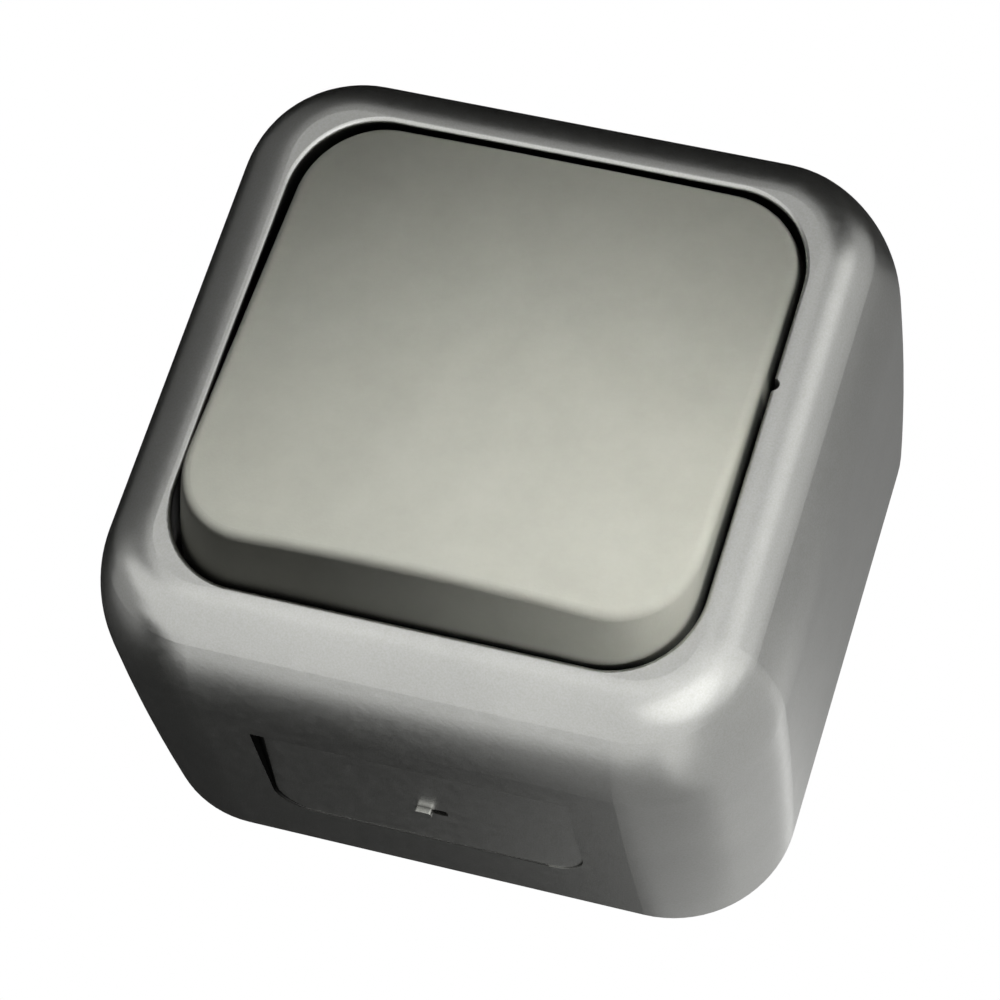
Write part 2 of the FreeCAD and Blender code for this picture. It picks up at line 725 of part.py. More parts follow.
def add_clips(body):
    """Four spring legs beside the carrier's plate, each with a nose under its edge."""
    inner = "(carrier_width/2 + seat_gap)"
    outer = f"({inner} + clip_thickness)"
    nose = f"({inner} - clip_nose)"
    under = "(carrier_under - seat_gap)"
    legs, noses = [], []
    for up in (-1, 1):
        ends = f"{up} * clip_spread/2 - clip_width/2", f"{up} * clip_spread/2 + clip_width/2"
        legs += [box(*leg, *ends) for leg in both_sides(inner, outer)]
        noses += [box(*tooth, *ends) for tooth in both_sides(nose, outer)]
    pad(body, "clip_legs", legs, under, "rib_top")
    pad(body, "clip_noses", noses, f"{under} - clip_nose_height", under)


def make_carrier():
    """Carrier that the rocker snaps on to, with its axle ends and the plunger's tube."""
    body = new_body("rocker_carrier")
    plate = centred_box("carrier_width", "carrier_height", "carrier_corner")
    yoke = centred_box("yoke_width", "yoke_height", "carrier_corner")
    pad(body, "plate", [plate], "carrier_under", "carrier_top")
    pad(body, "yoke", [yoke], "-yoke_drop", "carrier_top")
    pad(body, "axle", [circle("axle_radius")], "-axle_half", "axle_half", role="YZ_Plane")
    pad(body, "tube", [circle("tube_radius")], "-tube_reach", "carrier_top")
    pocket(body, "tube_bore", [circle("tube_bore")], "-tube_reach", "carrier_top - tube_roof")
    tilt_to_rest(body, Vector(-1, 0, 0), "hinge_depth", "rest_tilt")
    return body


def make_plunger():
    """Round-tipped pin that slides in the carrier's tube and rocks the contact lever."""
    body = new_body("plunger")
    guide, spigot = "(tube_bore - plunger_clearance)", "(spring_radius - spring_wire/2 - spigot_play)"
    turn(
        body,
        "pin",
        [
            outline(
                ("0", "plunger_top - spigot_length"),
                (spigot, "plunger_top - spigot_length"),
                (spigot, "plunger_top"),
                (guide, "plunger_top"),
                (guide, "plunger_shoulder"),
                ("plunger_tip", "plunger_shoulder + plunger_taper"),
                ("plunger_tip", "plunger_reach", f"plunger_tip * {DOME_RATIO}"),
                ("0", "plunger_reach"),
            )
        ],
    )
    tilt_to_rest(body, Vector(-1, 0, 0), "hinge_depth", "rest_tilt")
    return body


def make_spring():
    """Compression spring between the roof of the carrier's tube and the plunger's shoulder."""
    wire = value("spring_wire/2")
    margin = wire + value("spring_play")
    first, last = value("plunger_top") - margin, -value("spring_roof") + margin
    coil = Part.makeHelix((first - last) / value("spring_turns"), first - last, value("spring_radius"))
    section = Part.Wire(Part.makeCircle(wire, Vector(value("spring_radius"), 0, 0), Vector(0, 1, 0)))
    spring = doc.addObject("Part::Feature", "plunger_spring")
    spring.Shape = Part.Wire(coil.Edges).makePipeShell([section], True, True)
    hinge = Placement(Vector(0, -value("hinge_depth"), 0), Rotation(Vector(-1, 0, 0), value("rest_tilt")))
    spring.Placement = hinge.multiply(Placement(Vector(0, first, 0), Rotation(Vector(1, 0, 0), 90)))
    return spring


def make_lever():
    """See-saw contact lever: a strip with raised arms, and an ear each side to rock on."""
    body = new_body("contact_lever")
    front, back = "-lever_thickness/2", "lever_thickness/2"
    bend, tip = "lever_flat/2", "lever_half"
    pad(
        body,
        "strip",
        [
            outline(
                (back, f"-{bend}"),
                (back, bend),
                (f"{back} - arm_rise", tip),
                (f"{front} - arm_rise", tip),
                (front, bend),
                (front, f"-{bend}"),
                (f"{front} - arm_rise", f"-{tip}"),
                (f"{back} - arm_rise", f"-{tip}"),
            )
        ],
        "-lever_width/2",
        "lever_width/2",
        role="YZ_Plane",
    )
    pad(body, "ears", [centred_box("ear_span", "ear_width")], front, back)
    end, thin = value(tip), value("lever_thickness/2")

    def at_the_ends(edge):
        """True for an edge that runs through the strip's thickness at one of its ends."""
        room = edge.BoundBox
        return abs(abs(room.Center.z) - end) < NEAR and room.XLength < NEAR and room.YLength > thin

    round_edges(body, "ends", at_the_ends, "lever_corner")
    pocket(
        body,
        "rivet_hole",
        [circle("rivet_shank + rivet_play", "0", "-contact_height")],
        "-lever_thickness",
        "3 * lever_thickness",
    )
    tilt_to_rest(body, Vector(1, 0, 0), "lever_depth", "lever_tilt")
    return body


def make_moving_contact():
    """Contact rivet through the lever's lower arm, square to the bent arm."""
    body = new_body("moving_contact")
    head, face = "lever_thickness/2", "lever_thickness/2 + contact_head"
    foot = f"-({head}) - contact_foot"
    turn(
        body,
        "rivet",
        [
            outline(
                ("0", foot),
                ("contact_foot_radius", foot),
                ("contact_foot_radius", f"-({head})"),
                ("rivet_shank", f"-({head})"),
                ("rivet_shank", head),
                ("contact_radius", head),
                ("contact_radius", face, "contact_round"),
                ("0", face),
            )
        ],
    )
    rise = value("(contact_height - lever_flat/2) * tan(lever_bend * 1deg)")
    bend = Rotation(Vector(-1, 0, 0), value("lever_bend"))
    arm = Placement(Vector(0, -rise, -value("contact_height")), bend)
    tilt = Rotation(Vector(1, 0, 0), value("lever_tilt"))
    lever = Placement(Vector(0, -value("lever_depth"), 0), tilt)
    body.Placement = lever.multiply(arm)
    return body


def make_fixed_contact():
    """Contact rivet through the load terminal's arm, under the moving contact."""
    body = new_body("fixed_contact")
    head, face = "strip_top", "contact_face"
    foot = "strip_depth - contact_foot"
    turn(
        body,
        "rivet",
        [
            outline(
                ("0", f"-({foot})"),
                ("contact_foot_radius", f"-({foot})"),
                ("contact_foot_radius", "-strip_depth"),
                ("rivet_shank", "-strip_depth"),
                ("rivet_shank", f"-{head}"),
                ("fixed_contact_radius", f"-{head}"),
                ("fixed_contact_radius", f"-({face})", "contact_round"),
                ("0", f"-({face})"),
            )
        ],
    )
    body.Placement = Placement(Vector(0, 0, -value("contact_height")), Rotation())
    body.setExpression("Placement.Base.z", tied("-contact_height"))
    return body


def strip_holes(body, side):
    """Threaded hole for the terminal screw and the hole for the rivet that holds the strip."""
    pocket(
        body,
        "holes",
        [
            circle("terminal_screw_radius + thread_play", f"{side} * terminal_spread/2", "-terminal_height"),
            circle("strip_rivet_radius + rivet_play", f"{side} * terminal_spread/2", "0"),
        ],
        f"strip_depth - {PAST}",
        f"strip_top + {PAST}",
    )


def make_common_terminal():
    """Brass strip from the left clamp to the middle, with two notched posts for the lever."""
    body = new_body("common_terminal")
    pad(
        body,
        "strip",
        [
            outline(
                ("-strip_outer", "-strip_low", "strip_corner"),
                ("-strip_inner", "-strip_low", "strip_corner"),
                ("-strip_inner", "-strip_high", "strip_corner"),
                ("common_reach", "-strip_high", "strip_corner"),
                ("common_reach", "strip_high", "strip_corner"),
                ("-strip_outer", "strip_high", "strip_corner"),
            )
        ],
        "strip_depth",
        "strip_top",
    )
    ends = "-post_width/2", "post_width/2"
    posts = [box(*across, *ends) for across in both_sides("post_inner", "post_outer")]
    pad(body, "posts", posts, "strip_top - strip_thickness/2", "post_top")
    across = centred_box(f"2 * (post_outer + {PAST})", "seat_width")
    pocket(body, "seats", [across], "seat_depth", f"post_top + {PAST}")
    strip_holes(body, "-1")
    return body


def make_load_terminal():
    """Brass strip from the right clamp to the place under the moving contact."""
    body = new_body("load_terminal")
    pad(
        body,
        "strip",
        [
            outline(
                ("strip_inner", "-strip_low", "strip_corner"),
                ("strip_outer", "-strip_low", "strip_corner"),
                ("strip_outer", "strip_high", "strip_corner"),
                ("strip_inner", "strip_high", "strip_corner"),
                ("strip_inner", "-load_arm_high", "strip_corner"),
                ("-load_reach", "-load_arm_high", "load_arm_corner"),
                ("-load_reach", "-load_arm_low", "load_arm_corner"),
                ("strip_inner", "-load_arm_low", "strip_corner"),
            )
        ],
        "strip_depth",
        "strip_top",
    )
    strip_holes(body, "1")
    pocket(
        body,
        "contact_hole",
        [circle("rivet_shank + rivet_play", "0", "-contact_height")],
        f"strip_depth - {PAST}",
        f"strip_top + {PAST}",
    )
    return body


def make_strip_rivet(label, side):
    """Rivet that holds a terminal strip down on the mechanism's body."""
    body = new_body(label)
    head = "strip_top + strip_rivet_head_height"
    turn(
        body,
        "rivet",
        [
            outline(
                ("0", "-strip_rivet_end"),
                ("strip_rivet_radius", "-strip_rivet_end"),
                ("strip_rivet_radius", "-strip_top"),
                ("strip_rivet_head", "-strip_top"),
                ("strip_rivet_head", f"-({head})", "strip_rivet_round"),
                ("0", f"-({head})"),
            )
        ],
    )
    body.Placement = Placement(Vector(side * value("terminal_spread/2"), 0, 0), Rotation())
    body.setExpression("Placement.Base.x", tied(f"{side} * terminal_spread/2"))
    return body


def make_screw(label, across, up, depth, head, head_height, shank, end):
    """Slotted cheese-head screw, drawn on its own axis and set at its hole."""
    body = new_body(label)
    top = f"({depth} + {head_height})"
    turn(
        body,
        "shape",
        [
            outline(
                ("0", f"-({end})"),
                (f"{shank} - screw_chamfer", f"-({end})"),
                (shank, f"-({end}) - screw_point"),
                (shank, f"-({depth})"),
                (head, f"-({depth})"),
                (head, f"-{top}", "screw_head_round"),
                ("0", f"-{top}"),
            )
        ],
    )
    pocket(
        body,
        "driver_slot",
        [centred_box(f"3 * {head}", "driver_slot")],
        f"{top} - driver_slot_depth",
        f"{top} + {PAST}",
    )
    body.Placement = Placement(Vector(value(across), 0, value(up)), Rotation())
    body.setExpression("Placement.Base.x", tied(across))
    body.setExpression("Placement.Base.z", tied(up))
    return body


def make_clamp(label, side):
    """Pressure plate held under a terminal screw's head, with a lip each side of the wire."""
    body = new_body(label)
    middle = f"{side} * terminal_spread/2"
    left, right = f"{middle} - clamp_width/2", f"{middle} + clamp_width/2"
    low, high = "-terminal_height - clamp_height/2", "-terminal_height + clamp_height/2"
    pad(body, "plate", [box(left, right, low, high, "clamp_corner")], "clamp_under", "clamp_top")
    ends = f"{low} + clamp_lip_inset", f"{high} - clamp_lip_inset"
    lips = [
        box(left, f"{left} + clamp_lip_width", *ends),
        box(f"{right} - clamp_lip_width", right, *ends),
    ]
    pad(body, "lips", lips, "clamp_under - clamp_lip", "clamp_under + clamp_thickness/2")
    hole = circle("terminal_screw_radius + 2 * thread_play", middle, "-terminal_height")
    pocket(body, "screw_hole", [hole], f"clamp_under - {PAST}", f"clamp_top + {PAST}")
    return body


def make_mechanism_body():
    """Moulded block that holds the contacts, with a cheek each side for the carrier's axle."""
    body = new_body("mechanism_body")
    block = centred_box("body_width", "body_height", "body_corner")
    pad(body, "block", [block], "plate_thickness", "body_top")
    pocket(
        body,
        "lever_chamber",
        [centred_box("chamber_width", "chamber_height", "chamber_corner")],
        "strip_depth",
        "body_top",
    )
    add_strip_wells(body)
    pad(
        body,
        "lever_stop",
        [
            box(
                "-lever_stop_width/2",
                "lever_stop_width/2",
                "contact_height - lever_stop_thickness/2",
                "contact_height + lever_stop_thickness/2",
            )
        ],
        f"strip_depth - {INTO}",
        "lever_stop_top",
    )
    add_fixing_wells(body)
    add_cheeks(body)
    depth = "-(strip_top + wire_hole_radius)"
    holes = [circle("wire_hole_radius", f"{side} * terminal_spread/2", depth) for side in (-1, 1)]
    ends = f"-body_height/2 - {PAST}", "-terminal_height"
    pocket(body, "wire_holes", holes, *ends, role="XY_Plane")
    return body


def add_strip_wells(body):
    """Wells that the terminal strips drop into, and the blind holes for what stands through them."""
    sides = both_sides("(strip_inner - strip_play)", "(strip_outer + strip_play)")
    ends = "-(strip_low + strip_play)", "strip_high + strip_play"
    wells = [box(*across, *ends, "well_corner") for across in sides]
    pocket(body, "wells", wells, "strip_depth", "body_top")
    inside, outside = f"(chamber_width/2 - {INTO})", f"(strip_inner + {INTO})"
    pocket(
        body,
        "arm_ways",
        [
            box(f"-{outside}", f"-{inside}", "-(strip_high + strip_play)", "strip_high + strip_play"),
            box(inside, outside, "-(load_arm_low + strip_play)", "-(load_arm_high - strip_play)"),
        ],
        "strip_depth",
        "body_top",
    )
    middles = [f"{side} * terminal_spread/2" for side in (-1, 1)]
    shank = "terminal_screw_radius + 2 * thread_play"
    screws = [circle(shank, middle, "-terminal_height") for middle in middles]
    rivets = [circle("strip_rivet_radius + rivet_play", middle) for middle in middles]
    foot = circle("contact_foot_radius + strip_play", "0", "-contact_height")
    pocket(body, "screw_holes", screws, "terminal_screw_end - screw_end_room", "strip_depth")
    pocket(body, "rivet_holes", rivets, "strip_rivet_end - screw_end_room", "strip_depth")
    pocket(body, "foot_hole", [foot], "strip_depth - contact_foot - screw_end_room", "strip_depth")


def add_fixing_wells(body):
    """Deep wells for the two fixing screws, and recesses over the base plate's bosses."""
    recess_top = "fixing_boss_top + rivet_play"
    steps = (
        ("fixing_wells", "fixing_well", "flange_top", "body_top"),
        ("boss_recesses", "fixing_boss_radius + strip_play", "plate_thickness", recess_top),
        ("fixing_holes", "fixing_radius + 2 * thread_play", "plate_thickness", "body_top"),
    )
    for name, radius, start, end in steps:
        pocket(body, name, [circle(radius, *spot) for spot in FIXINGS], start, end)


def add_cheeks(body):
    """Round-topped cheeks with the bores in which the carrier's axle turns."""
    top = "-(hinge_depth + cheek_rise)"
    foot, corner = f"-(body_top - {INTO})", f"cheek_width * {ROUND_RATIO}"
    cheek = outline(
        (top, "-cheek_width/2", corner),
        (foot, "-cheek_width/2"),
        (foot, "cheek_width/2"),
        (top, "cheek_width/2", corner),
    )
    for name, ends in zip(("left", "right"), both_sides("cheek_inner", "cheek_outer")):
        pad(body, f"cheek_{name}", [cheek], *ends, role="YZ_Plane")
    bore = circle("axle_radius + axle_clearance", "-hinge_depth", "0")
    pocket(body, "axle_bores", [bore], f"-cheek_outer - {PAST}", f"cheek_outer + {PAST}", role="YZ_Plane")


def make_lid():
    """Insulating lid over the contacts, with the plunger's hole and the carrier's four stops."""
    body = new_body("mechanism_lid")
    shoulder = "(fixing_height - fixing_well - lid_margin)"
    neck = "(fixing_spread/2 - fixing_well - lid_margin)"
    pad(
        body,
        "plate",
        [
            outline(
                ("-lid_half_width", "-lid_half_height", "lid_corner"),
                ("lid_half_width", "-lid_half_height", "lid_corner"),
                ("lid_half_width", shoulder, "lid_corner"),
                (neck, shoulder),
                (neck, "lid_half_height", "lid_corner"),
                (f"-{neck}", "lid_half_height", "lid_corner"),
                (f"-{neck}", shoulder),
                ("-lid_half_width", shoulder, "lid_corner"),
            )
        ],
        "body_top",
        "lid_top",
    )
    holes = [circle("driver_hole", f"{side} * terminal_spread/2", "-terminal_height") for side in (-1, 1)]
    holes.append(circle("lid_hole"))
    pocket(body, "holes", holes, f"body_top - {PAST}", f"lid_top + {PAST}")
    near, far = "(stop_spread_x/2 - stop_width/2)", "(stop_spread_x/2 + stop_width/2)"
    low, high = "(stop_spread_z/2 - stop_width/2)", "(stop_spread_z/2 + stop_width/2)"
    stops = [
        box(*across, *up, "stop_corner") for across in both_sides(near, far) for up in both_sides(low, high)
    ]
    pad(body, "stops", stops, f"lid_top - {INTO}", "stop_top")
    return body


def make_base_plate():
    """Plate that is screwed to the wall and that the cover snaps over."""
    body = new_body("base_plate")
    corner = "plate_half - corner_centre"
    width = "2 * plate_half"
    pad(body, "plate", [centred_box(width, width, corner)], "0", "plate_thickness")
    inside = "2 * rim_inner"
    pad(
        body,
        "rim",
        [centred_box(width, width, corner), centred_box(inside, inside, f"{corner} - plate_rim")],
        f"plate_thickness - {INTO}",
        "plate_rim_top",
    )
    bosses = [circle("fixing_boss_radius", *spot) for spot in FIXINGS]
    pad(body, "bosses", bosses, f"plate_thickness - {INTO}", "fixing_boss_top")
    pilots = [circle("fixing_radius + thread_play", *spot) for spot in FIXINGS]
    pocket(body, "pilot_holes", pilots, "fixing_end - screw_end_room", "fixing_boss_top")
    ends = "-wall_slot_width/2", "wall_slot_width/2", f"wall_slot_width * {ROUND_RATIO}"
    slots = [box(*across, *ends) for across in both_sides("slot_near", "slot_far")]
    entry = circle("rear_entry_radius", "0", "-rear_entry_height")
    pocket(body, "wall_openings", [*slots, entry], f"-{PAST}", f"plate_thickness + {PAST}")
    add_hooks(body)
    return body


def add_hooks(body):
    """Spring arm each side, whose nose holds the cover's catch rib."""
    ends = "-hook_width/2", "hook_width/2"
    arms = [box(*across, *ends) for across in both_sides("hook_inner", "hook_outer")]
    pad(body, "hook_arms", arms, f"plate_thickness - {INTO}", "hook_nose_high")
    root, crest = "hook_inner + hook_thickness/4", "hook_inner + hook_thickness/2"
    tip = "hook_outer + hook_nose"
    low, high = "hook_nose_low", "hook_nose_high"
    wedge = (root, low), (tip, low), (crest, high), (root, high)
    for name, side in (("left", -1), ("right", 1)):
        nose = outline(*((f"{side} * ({across})", f"-{depth}") for across, depth in wedge))
        pad(body, f"hook_nose_{name}", [nose], *ends, role="XY_Plane")


def terminal_screw(label, side):
    return make_screw(
        label,
        f"{side} * terminal_spread/2",
        "-terminal_height",
        "terminal_head_depth",
        "terminal_head_radius",
        "terminal_head",
        "terminal_screw_radius",
        "terminal_screw_end",
    )


def fixing_screw(label, side):
    return make_screw(
        label,
        f"{side} * fixing_spread/2",
        "fixing_height",
        "flange_top",
        "fixing_head_radius",
        "fixing_head",
        "fixing_radius",
        "fixing_end",
    )


NODES = [
    make_cover(),
    make_rocker(),
    make_carrier(),
    make_plunger(),
    make_spring(),
    make_lever(),
    make_moving_contact(),
    make_fixed_contact(),
    make_common_terminal(),
    make_load_terminal(),
    make_strip_rivet("common_rivet", -1),
    make_strip_rivet("load_rivet", 1),
    terminal_screw("common_screw", -1),
    terminal_screw("load_screw", 1),
    make_clamp("common_clamp", -1),
    make_clamp("load_clamp", 1),
    make_mechanism_body(),
    make_lid(),
    fixing_screw("fixing_screw_left", -1),
    fixing_screw("fixing_screw_right", 1),
    make_base_plate(),
]
doc.recompute()

for item in doc.Objects:
    if "Invalid" in item.State or "Error" in item.State:
        raise RuntimeError(f"{item.Label} did not recompute: {item.State}")
for node in NODES:
    if node.Shape.isNull() or not node.Shape.isValid() or not node.Shape.Solids:
        raise RuntimeError(f"{node.Label} is not a valid solid")

os.makedirs("parts", exist_ok=True)
for node in NODES:
    node.Shape.exportStep(f"parts/{node.Label}.step")
    room = node.Shape.BoundBox
    count = len(node.Shape.Solids)
    print(f"{node.Label}: {node.Shape.Volume:.0f} mm3, {count} solid, {room.YMin:.2f} to {room.YMax:.2f}")
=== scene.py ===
import json
import math

import bmesh
import bpy
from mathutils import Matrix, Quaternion, Vector


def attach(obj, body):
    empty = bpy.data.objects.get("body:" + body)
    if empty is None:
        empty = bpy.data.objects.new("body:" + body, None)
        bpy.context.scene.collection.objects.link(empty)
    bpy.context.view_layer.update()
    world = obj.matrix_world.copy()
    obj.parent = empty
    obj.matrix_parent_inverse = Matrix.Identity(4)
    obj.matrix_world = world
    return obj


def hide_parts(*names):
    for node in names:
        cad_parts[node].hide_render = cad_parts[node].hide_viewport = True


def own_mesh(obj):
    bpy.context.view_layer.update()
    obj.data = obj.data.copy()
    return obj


# Surface mounted light switch on its wall plane y = 0, facing -Y, with Z up. Lengths are in metres.
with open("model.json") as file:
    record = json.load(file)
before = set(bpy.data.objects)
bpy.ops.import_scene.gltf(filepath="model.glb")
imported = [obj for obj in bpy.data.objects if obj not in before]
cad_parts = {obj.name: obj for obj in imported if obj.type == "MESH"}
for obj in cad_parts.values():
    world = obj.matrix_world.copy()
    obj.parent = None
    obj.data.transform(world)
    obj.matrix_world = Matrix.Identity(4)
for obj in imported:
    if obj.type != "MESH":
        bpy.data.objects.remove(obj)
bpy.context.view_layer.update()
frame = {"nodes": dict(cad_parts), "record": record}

# Camera: where it looks, from which side, how far off, and its roll about the view axis
CAMERA_AIM = Vector((0.0, -0.025, -0.0036))
CAMERA_SIDE = (15.0, -24.83)  # azimuth and elevation in degrees
CAMERA_DISTANCE = 0.426
CAMERA_ROLL = math.radians(18.49)
CAMERA_LENS = 156.05  # mm

# The break-out panel under the cover, with the sizes of the CAD source
PANEL_SIDE = 0.016  # from the middle to each side
PANEL_NEAR = 0.0085  # from the wall to the panel
PANEL_CORNER = 0.004
PANEL_FLOOR = 0.03374  # from the middle down to its floor, carried on to the wall
PANEL_LEAN = math.radians(2.3)

# The liner on the panel's step, black where it is painted shade for the gap
LINER_FAR = 0.0259  # from the wall to its front end
LINER_STEPS = 10  # along the side, and again round the corner
LINER_LIFT = 0.00003  # off the cover's faces
LINER_WIDTH = 0.0006  # at its front end
LINER_NARROW = 0.1  # share of that width along the back edge
LINER_THICKNESS = 0.00002
LINER_REACH = 0.0002  # how far outside the panel the cover's face is measured
BELOW_OBJECT = -0.1

# Painted shade in narrow gaps and creases, by the share of the sky that a spot on the surface sees
CREASE_REACH = 0.0012  # how near another surface has to be to cover it
CREASE_CLOSED = 0.35  # the surface is as dark as it gets
CREASE_OPEN = 0.8  # the surface keeps its own colour
CREASE_SAMPLES = 8
CREASE_SHADE_COLOUR = (0.006, 0.006, 0.006)

# Colours and light
PAINT_DIM = (0.635, 0.64, 0.6)
PAINT_BRIGHT = (0.77, 0.77, 0.775)
KEY_GREY = (0.37, 0.372, 0.325)
# the black is painted shade for the panel's gap
GAP_SHADE_BLACK = (0.004, 0.004, 0.004)
GAP_GREY = (0.6, 0.6, 0.6)
WHITE = (1.0, 1.0, 1.0)
AMBIENT = (0.06, 0.06, 0.06)  # light from all sides on the matt surfaces
FLOOR_HEIGHT = -1.1
FLOOR_SIZE = 24.0
FLOOR_TONES = ((0.92, 0.92, 0.92), (0.96, 0.96, 0.96))
FLOOR_GLOW = 0.78  # the floor's own brightness to the camera and in reflections, where 1 is white
KEY_TARGET = Vector((0.0, -0.044, -0.052))  # below the rocker's lower edge
LOW_KEY_TARGET = Vector((0.034, -0.045, -0.025))  # beside the rocker's lower right corner

NOISE_RANGE = (0.3, 0.7)  # where nearly all of a noise texture's values lie
# A colour mix's two inputs and its output, which share their names with those of other mixes
MIX_FIRST, MIX_SECOND, MIX_RESULT = 6, 7, 2


def direction(side):
    """Unit vector towards a side of the object, given as azimuth and elevation in degrees.

    Azimuth 0 is in front of it, and 90 is to its right.
    """
    azimuth, elevation = map(math.radians, side)
    level = math.cos(elevation)
    return Vector((math.sin(azimuth) * level, -math.cos(azimuth) * level, math.sin(elevation)))


def new_object(name, data):
    made = bpy.data.objects.new(name, data)
    bpy.context.scene.collection.objects.link(made)
    return made


def place_camera():
    camera = new_object("camera", bpy.data.cameras.new("camera"))
    away = direction(CAMERA_SIDE)
    camera.location = CAMERA_AIM + away * CAMERA_DISTANCE
    turned = (-away).to_track_quat("-Z", "Y") @ Quaternion((0, 0, 1), CAMERA_ROLL)
    camera.rotation_euler = turned.to_euler()
    camera.data.lens = CAMERA_LENS
    bpy.context.scene.camera = camera


def add(tree, kind, inputs=None, **settings):
    """A node with its settings and its inputs. An input is a value or another node's output."""
    made = tree.nodes.new(kind)
    for name, value in settings.items():
        setattr(made, name, value)
    for name, value in (inputs or {}).items():
        if isinstance(value, bpy.types.NodeSocket):
            tree.links.new(value, made.inputs[name])
        else:
            made.inputs[name].default_value = value
    return made


def calculated(tree, operation, first, second):
    return add(tree, "ShaderNodeMath", {0: first, 1: second}, operation=operation).outputs[0]


def seen_white(tree):
    """One where a ray from the camera, or off or through the object, sees the background."""
    rays = add(tree, "ShaderNodeLightPath").outputs
    shiny = calculated(tree, "MAXIMUM", rays["Is Camera Ray"], rays["Is Glossy Ray"])
    return calculated(tree, "MAXIMUM", shiny, rays["Is Transmission Ray"])


def remapped(tree, factor, old_range, low=0.0, high=1.0):
    """The factor's old range stretched to run from low to high."""
    limits = {"Value": factor, "To Min": low, "To Max": high}
    limits["From Min"], limits["From Max"] = old_range
    return add(tree, "ShaderNodeMapRange", limits).outputs["Result"]


def place_on(tree):
    """The place of a point in its own piece, in metres."""
    return add(tree, "ShaderNodeTexCoord").outputs["Object"]


def grain(tree, scale, detail=3.0, roughness=0.6, stretch=(1, 1, 1)):
    """Noise fixed to the piece. Scale is in grains to the metre."""
    fitted = add(tree, "ShaderNodeMapping", {"Vector": place_on(tree), "Scale": stretch})
    inputs = {"Vector": fitted.outputs[0], "Scale": scale, "Detail": detail, "Roughness": roughness}
    return add(tree, "ShaderNodeTexNoise", inputs).outputs["Fac"]


def spread(tree, noise, low=0.0, high=1.0):
    return remapped(tree, noise, NOISE_RANGE, low, high)


def between(tree, factor, first, second):
    """Mix of two colours, each given as red, green and blue or as a node's output."""
    inputs = {"Factor": factor}
    for place, colour in ((MIX_FIRST, first), (MIX_SECOND, second)):
        inputs[place] = colour if isinstance(colour, bpy.types.NodeSocket) else (*colour, 1.0)
    return add(tree, "ShaderNodeMix", inputs, data_type="RGBA").outputs[MIX_RESULT]


def shades(base, step):
    """A darker and a lighter shade on each side of a colour."""
    return [tuple(part * (1 - step) for part in base), tuple(part * (1 + step) for part in base)]


def crease_shaded(tree, colour):
    """The colour, darkened in narrow gaps and creases by the share of the sky each spot sees: painted
    shade.
    """
    reach = {"Distance": CREASE_REACH}
    sky = add(tree, "ShaderNodeAmbientOcclusion", reach, samples=CREASE_SAMPLES).outputs["AO"]
    unshaded = remapped(tree, sky, (CREASE_CLOSED, CREASE_OPEN))
    return between(tree, unshaded, CREASE_SHADE_COLOUR, colour)


def new_material(name):
    material = bpy.data.materials.new(name)
    material.use_nodes = True
    tree = material.node_tree
    tree.nodes.clear()
    return material, tree


def finish_surface(tree, surface, colour, roughness, relief, depth):
    """Join colour, roughness and a fine relief to the shader, and the shader to the material."""
    tree.links.new(colour, surface.inputs["Base Color"])
    tree.links.new(roughness, surface.inputs["Roughness"])
    bump = add(tree, "ShaderNodeBump", {"Height": relief, "Strength": 1.0, "Distance": depth})
    tree.links.new(bump.outputs[0], surface.inputs["Normal"])
    add(tree, "ShaderNodeOutputMaterial", {"Surface": surface.outputs[0]})


def metallic_paint():
    """Satin silver-grey paint: fine flakes, faint cloudiness and a thin clear coat."""
    material, tree = new_material("cover_paint")
    clouds = spread(tree, grain(tree, 70, detail=4.0))
    dim = between(tree, clouds, *shades(PAINT_DIM, 0.05))
    bright = between(tree, clouds, *shades(PAINT_BRIGHT, 0.04))
    flakes = spread(tree, grain(tree, 5200, detail=1.0), high=0.5)
    # painted shade: the paint goes darker in narrow gaps and creases
    colour = crease_shaded(tree, between(tree, flakes, dim, bright))
    coat = {"Metallic": 1.0, "Coat Weight": 0.1, "Coat Roughness": 0.3}
    surface = add(tree, "ShaderNodeBsdfPrincipled", coat)
    rough = spread(tree, grain(tree, 900), 0.29, 0.34)
    finish_surface(tree, surface, colour, rough, relief=grain(tree, 2600, detail=2.0), depth=0.000008)
    return material


def matt_key():
    """Warm grey key: spark-eroded texture, with a faint mottle."""
    material, tree = new_material("key_plastic")
    mottle = spread(tree, grain(tree, 160, detail=5.0, roughness=0.7))
    # painted shade: the key goes darker in narrow gaps and creases
    colour = crease_shaded(tree, between(tree, mottle, *shades(KEY_GREY, 0.05)))
    surface = add(tree, "ShaderNodeBsdfPrincipled", {"Specular IOR Level": 0.2})
    rough = spread(tree, grain(tree, 1200), 0.46, 0.56)
    finish_surface(tree, surface, colour, rough, relief=grain(tree, 3200), depth=0.000014)
    return material


def moulded(name, base, roughness, depth=0.00001):
    """Plain moulded plastic with a faint flow mottle."""
    material, tree = new_material(name)
    flow = spread(tree, grain(tree, 220, detail=4.0, stretch=(1, 1, 0.4)))
    colour = between(tree, flow, *shades(base, 0.07))
    surface = add(tree, "ShaderNodeBsdfPrincipled", {"Specular IOR Level": 0.45})
    rough = spread(tree, grain(tree, 600), roughness - 0.05, roughness + 0.05)
    finish_surface(tree, surface, colour, rough, relief=grain(tree, 1500), depth=depth)
    return material


def worked_metal(name, base, roughness):
    """Stamped, turned or drawn metal with fine draw lines and slight tarnish."""
    material, tree = new_material(name)
    lines = grain(tree, 1500, stretch=(1, 1, 12))
    tarnish = spread(tree, grain(tree, 500, detail=4.0))
    colour = between(tree, tarnish, *shades(base, 0.12))
    surface = add(tree, "ShaderNodeBsdfPrincipled", {"Metallic": 1.0})
    rough = spread(tree, lines, roughness - 0.08, roughness + 0.08)
    finish_surface(tree, surface, colour, rough, relief=lines, depth=0.000006)
    return material


